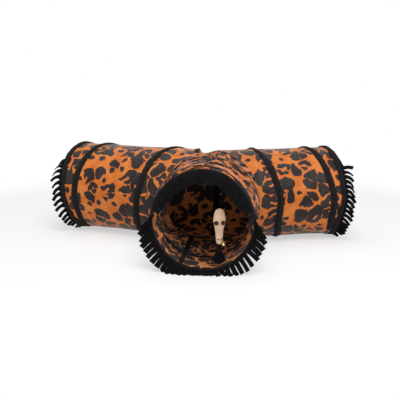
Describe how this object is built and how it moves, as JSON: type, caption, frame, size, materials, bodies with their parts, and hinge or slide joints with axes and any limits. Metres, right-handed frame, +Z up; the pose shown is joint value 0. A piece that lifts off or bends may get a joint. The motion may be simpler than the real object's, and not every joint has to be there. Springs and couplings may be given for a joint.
{
  "type": "three-way cat tunnel",
  "caption": "Collapsible three-way cat tunnel: three spring-wire cloth tubes in leopard print, black fringed mouths and a hanging toy with a bell.",
  "frame": {"origin": "on the floor, under the middle of the bounding box", "axes": "+Z up; the front tube points to -Y; the right tube to +X and the left tube to -X, both swept back towards +Y"},
  "size_m": [0.8728, 0.6018, 0.2558],
  "materials": {
    "printed_cloth": "smooth woven polyester in an orange and charcoal leopard print, slight sheen",
    "black_tape": "black woven binding tape",
    "black_felt": "black felt cut into strips",
    "black_cord": "thin black elastic cord",
    "spring_wire": "oiled spring steel",
    "tan_wood": "bare tan wood, matt",
    "brass": "bright brass"
  },
  "bodies": {
    "junction": {"right_sleeve": "printed_cloth", "left_sleeve": "printed_cloth", "front_sleeve": "printed_cloth", "right_coil": "spring_wire", "left_coil": "spring_wire", "front_coil": "spring_wire", "right_wire_casing": "black_tape", "left_wire_casing": "black_tape", "front_wire_casing": "black_tape", "back_seam": "black_tape", "front_right_seam": "black_tape", "front_left_seam": "black_tape"},
    "right_mouth": {"right_rim_binding": "black_tape", "right_fringe": "black_felt"},
    "left_mouth": {"left_rim_binding": "black_tape", "left_fringe": "black_felt"},
    "front_mouth": {"front_rim_binding": "black_tape", "front_fringe": "black_felt", "toy_loop": "black_tape"},
    "toy_cord": {"toy_cord": "black_cord"},
    "toy_head": {"toy_head": "tan_wood"},
    "toy_tail": {"toy_tail": "black_felt"},
    "toy_bell": {"toy_bell_ring": "brass", "toy_bell": "brass", "toy_bell_pellet": "spring_wire"}
  },
  "joints": [
    {"name": "right_mouth_slide", "type": "slide", "parent": "junction", "child": "right_mouth", "axis": [0.9613, 0.2756, 0], "range_m": [-0.195, 0], "stiffness_N_per_m": 60, "deforming": ["right_sleeve", "right_coil", "right_wire_casing"]},
    {"name": "left_mouth_slide", "type": "slide", "parent": "junction", "child": "left_mouth", "axis": [-0.9613, 0.2756, 0], "range_m": [-0.27, 0], "stiffness_N_per_m": 60, "deforming": ["left_sleeve", "left_coil", "left_wire_casing"]},
    {"name": "front_mouth_slide", "type": "slide", "parent": "junction", "child": "front_mouth", "axis": [0, -1, 0], "range_m": [-0.155, 0], "stiffness_N_per_m": 60, "deforming": ["front_sleeve", "front_coil", "front_wire_casing"]},
    {"name": "toy_swing", "type": "hinge", "parent": "front_mouth", "child": "toy_cord", "pos_m": [0.07505, -0.25949, 0.2356], "axis": [1, 0, 0], "range_deg": [-50, 70]},
    {"name": "toy_tilt", "type": "hinge", "parent": "toy_cord", "child": "toy_head", "pos_m": [0.07505, -0.25949, 0.15621], "axis": [0, 1, 0], "range_deg": [-5, 35]},
    {"name": "toy_tail_swing", "type": "hinge", "parent": "toy_head", "child": "toy_tail", "pos_m": [0.07505, -0.25949, 0.06696], "axis": [1, 0, 0], "range_deg": [-60, 60]},
    {"name": "toy_bell_swing", "type": "hinge", "parent": "toy_head", "child": "toy_bell", "pos_m": [0.08543, -0.25949, 0.07421], "axis": [1, 0, 0], "range_deg": [-60, 60]}
  ]
}
